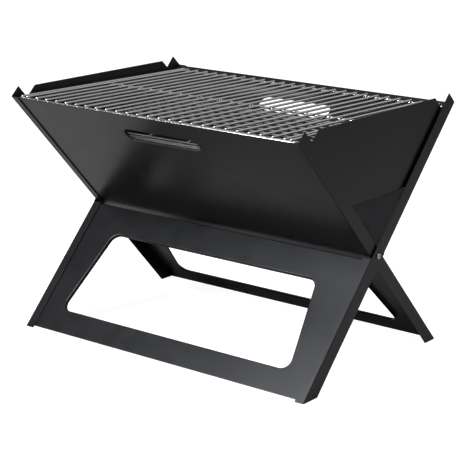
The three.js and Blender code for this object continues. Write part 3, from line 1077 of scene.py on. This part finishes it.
@dataclass
class PivotFasteners:
    """Pan-head screws, shims, washers and nuts on the pivot line."""

    shaft: float = 4.8 * MM
    head: float = 7.2 * MM
    recess_length: float = 4.2 * MM
    recess_width: float = 0.9 * MM
    recess_depth: float = 1.1 * MM
    head_height: float = 2.1 * MM
    dome_share: float = 0.62
    dome_rings: int = 7
    recess_break: float = 0.1 * MM
    nut_across: float = 8 * MM
    sides: int = 48
    shaft_sides: int = 32

    def drum(self, name: str, radius: float, x0: float, x1: float, sides: int = 0) -> Workpiece:
        """Turns a plain cylinder along the pivot line.

        Args:
            name: its name.
            radius: its radius.
            x0: where it starts.
            x1: where it ends.
            sides: how many flat sides it has, or 0 for a round one.

        Returns:
            The cylinder, in edit mode.
        """
        piece = Workpiece(name)
        bpy.ops.mesh.primitive_cylinder_add(
            vertices=sides or self.sides, radius=radius, depth=x1 - x0,
            location=((x0 + x1) / 2, 0, SIZES.pivot_z), rotation=(0, math.pi / 2, 0),
        )
        return piece

    def screw(self) -> Workpiece:
        """The right-hand screw: domed head with a cross recess, and its shaft."""
        low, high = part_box("right_pivot_screw")
        seat = high.x - self.head_height
        head = self.drum("right_pivot_screw_turned", self.head / 2, seat, high.x)
        head.pick("EDGE", lambda c: all(near(v.x, high.x) for v in c))
        bpy.ops.mesh.bevel(offset=self.dome_share * self.head_height, segments=self.dome_rings)
        head.close_up()
        cutter = Workpiece("recess")
        for wide, tall in ((self.recess_length, self.recess_width), (self.recess_width, self.recess_length)):
            middle = (high.x, 0, SIZES.pivot_z)
            bpy.ops.mesh.select_all(action="DESELECT")
            bpy.ops.mesh.primitive_cube_add(size=1, location=middle)
            bpy.ops.transform.resize(value=(2 * self.recess_depth, wide, tall), center_override=middle)
        cutter.choose()
        head.modify("BOOLEAN", operation="DIFFERENCE", object=cutter.object, solver="EXACT", use_self=True)
        bpy.data.objects.remove(cutter.object)
        shaft = self.drum("shaft", self.shaft / 2, low.x, seat + self.head_height / 3, self.shaft_sides)
        shaft.close_up()
        head.modify("BOOLEAN", operation="UNION", object=shaft.object, solver="EXACT")
        bpy.data.objects.remove(shaft.object)
        head.soften(self.recess_break)
        head.smooth()
        return head

    def ringed(self, node: str, name: str, chamfer: float, sides: int = 0) -> Workpiece:
        """A washer, shim or nut: a drum of its CAD size with a bore and broken edges.

        Args:
            node: the CAD node whose length it takes along the pivot line.
            name: the piece's name.
            chamfer: width of its broken edges.
            sides: 6 for the nut, and none for a round piece.

        Returns:
            The finished piece.
        """
        low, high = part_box(node)
        radius = self.nut_across / math.sqrt(3) if sides else (high.z - low.z) / 2
        piece = self.drum(name, radius, low.x, high.x, sides)
        piece.close_up()
        piece.bore((low.x + high.x) / 2, SIZES.screw_hole / 2, 4 * (high.x - low.x))
        piece.soften(chamfer)
        if sides:
            pivot = Matrix.Translation((0, 0, SIZES.pivot_z))
            piece.place(pivot @ Matrix.Rotation(SIZES.tilt, 4, "X") @ pivot.inverted())
        piece.smooth()
        return piece

    def make(self, zinc: bpy.types.Material) -> None:
        """Makes the fasteners of both pivots.

        Args:
            zinc: their finish.
        """
        kinds = (
            ("pivot_screw", "outer_frame", self.screw()),
            ("pivot_shim", "outer_frame",
             self.ringed("right_pivot_shim", "right_pivot_shim_pressed", 0.1 * MM)),
            ("nut_washer", "inner_frame",
             self.ringed("right_nut_washer", "right_nut_washer_pressed", 0.15 * MM)),
            ("pivot_nut", "inner_frame",
             self.ringed("right_pivot_nut", "right_pivot_nut_pressed", 0.35 * MM, sides=6)),
        )
        for node, body, right in kinds:
            left = right.mirrored(right.object.name.replace("right", "left"))
            left.smooth()
            for hand, piece in ((Hand.RIGHT, right), (Hand.LEFT, left)):
                piece.deliver(body, f"{hand.word}_{node}", Slot.FASTENER, zinc)


# ------------------------------------------------------------------------------------- the studio


@dataclass(frozen=True)
class SoftBox:
    """One large soft lamp."""

    name: str
    at: tuple[float, float, float]
    size: tuple[float, float]
    power: float
    colour: tuple[float, float, float] = (1.0, 1.0, 1.0)
    aim: tuple[float, float, float] = (0.0, 0.0, 0.17)

    def hang(self) -> None:
        """Adds the lamp, aimed at the grill."""
        data = bpy.data.lights.new(self.name, "AREA")
        data.shape = "RECTANGLE"
        data.size, data.size_y = self.size
        data.energy = self.power
        data.color = self.colour
        lamp = bpy.data.objects.new(self.name, data)
        bpy.context.scene.collection.objects.link(lamp)
        lamp.location = self.at
        lamp.rotation_euler = (Vector(self.aim) - Vector(self.at)).to_track_quat("-Z", "Y").to_euler()


@dataclass
class Studio:
    """Camera, lamps, surroundings and floor."""

    eye: tuple[float, float, float] = (1.20297, -1.55224, 0.67209)
    yaw: float = 0.657997
    pitch: float = 0.266864
    roll: float = 0.00865
    lens: float = 122.28
    sensor: float = 36.0
    floor_size: float = 60.0
    floor_gap: float = 0.1 * MM
    horizon_light: float = 0.55
    ceiling_light: float = 0.12
    band_top: float = math.sin(math.radians(28))
    ceiling_from: float = math.sin(math.radians(62))
    front_share: float = 0.15
    front_until: float = -0.75
    sides_from: float = 0.05

    def camera(self) -> None:
        """Sets up the camera."""
        data = bpy.data.cameras.new("camera")
        data.lens, data.sensor_width = self.lens, self.sensor
        data.clip_start, data.clip_end = 0.05, 100
        camera = bpy.data.objects.new("camera", data)
        bpy.context.scene.collection.objects.link(camera)
        camera.location = self.eye
        turn = Matrix.Rotation(self.yaw, 4, "Z") @ Matrix.Rotation(math.pi / 2 - self.pitch, 4, "X")
        camera.rotation_euler = (turn @ Matrix.Rotation(self.roll, 4, "Z")).to_euler()
        bpy.context.scene.camera = camera

    def lamps(self) -> None:
        """Hangs the soft boxes."""
        for box in (
            SoftBox("front_left_box", at=(-0.57, -1.60, 1.38), size=(0.9, 1.1), power=80,
                    colour=(0.90, 0.93, 1.0)),
            SoftBox("right_edge_box", at=(1.75, -0.45, 1.65), size=(0.5, 0.9), power=6),
            SoftBox("overhead_box", at=(0.0, 0.35, 2.4), size=(1.6, 1.0), power=55),
        ):
            box.hang()

    def surroundings(self) -> None:
        """Lights the room: bright behind and beside, dim overhead and in front, plain white to the eye."""
        world = bpy.data.worlds.new("surroundings")
        world.use_nodes = True
        tree = world.node_tree
        background = tree.nodes["Background"]
        background.inputs["Color"].default_value = (1, 1, 1, 1)
        direction = tree.nodes.new("ShaderNodeTexCoord").outputs["Generated"]
        split = tree.nodes.new("ShaderNodeSeparateXYZ")
        tree.links.new(direction, split.inputs["Vector"])
        shares = []
        for axis, start, end, low, high in (
            ("Z", self.band_top, self.ceiling_from, self.horizon_light, self.ceiling_light),
            ("Y", self.front_until, self.sides_from, self.front_share, 1.0),
        ):
            band = tree.nodes.new("ShaderNodeMapRange")
            band.interpolation_type = "SMOOTHSTEP"
            for key, value in (("From Min", start), ("From Max", end), ("To Min", low), ("To Max", high)):
                band.inputs[key].default_value = value
            tree.links.new(split.outputs[axis], band.inputs["Value"])
            shares.append(band.outputs["Result"])
        light = tree.nodes.new("ShaderNodeMath")
        light.operation = "MULTIPLY"
        for share, socket in zip(shares, light.inputs):
            tree.links.new(share, socket)
        seen = tree.nodes.new("ShaderNodeMix")
        seen.inputs["B"].default_value = 1.0
        tree.links.new(tree.nodes.new("ShaderNodeLightPath").outputs["Is Camera Ray"], seen.inputs["Factor"])
        tree.links.new(light.outputs["Value"], seen.inputs["A"])
        tree.links.new(seen.outputs["Result"], background.inputs["Strength"])
        bpy.context.scene.world = world
        bpy.context.scene.view_settings.view_transform = "Standard"

    def floor(self) -> None:
        """Lays the floor."""
        bpy.ops.object.select_all(action="DESELECT")
        bpy.ops.mesh.primitive_plane_add(size=self.floor_size, location=(0, 0, -self.floor_gap))
        ground = bpy.context.active_object
        ground.name = "floor"
        ground.data.materials.append(StudioFloor().make())

    def make(self) -> None:
        """Sets up the studio."""
        self.camera()
        self.lamps()
        self.surroundings()
        self.floor()


def main() -> None:
    """Builds the studio and every piece of the grill, in order."""
    logging.basicConfig(level=logging.INFO, format="%(message)s")
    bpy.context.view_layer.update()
    Studio().make()
    paint, chrome, zinc = HeatPaint().make(), BrightChrome().make(), ZincPlate().make()
    for assembly in (Rails(), FireboxWalls(), LegPanels(), EndPlates()):
        assembly.make(paint)
    CookingGrate().make(chrome)
    # the charcoal grate's wire finish carries painted shade of the firebox's inside
    CharcoalGrate().make(DullWireWithPaintedShade().make())
    PivotFasteners().make(zinc)
    bpy.context.view_layer.update()


if __name__ == "__main__":
    main()
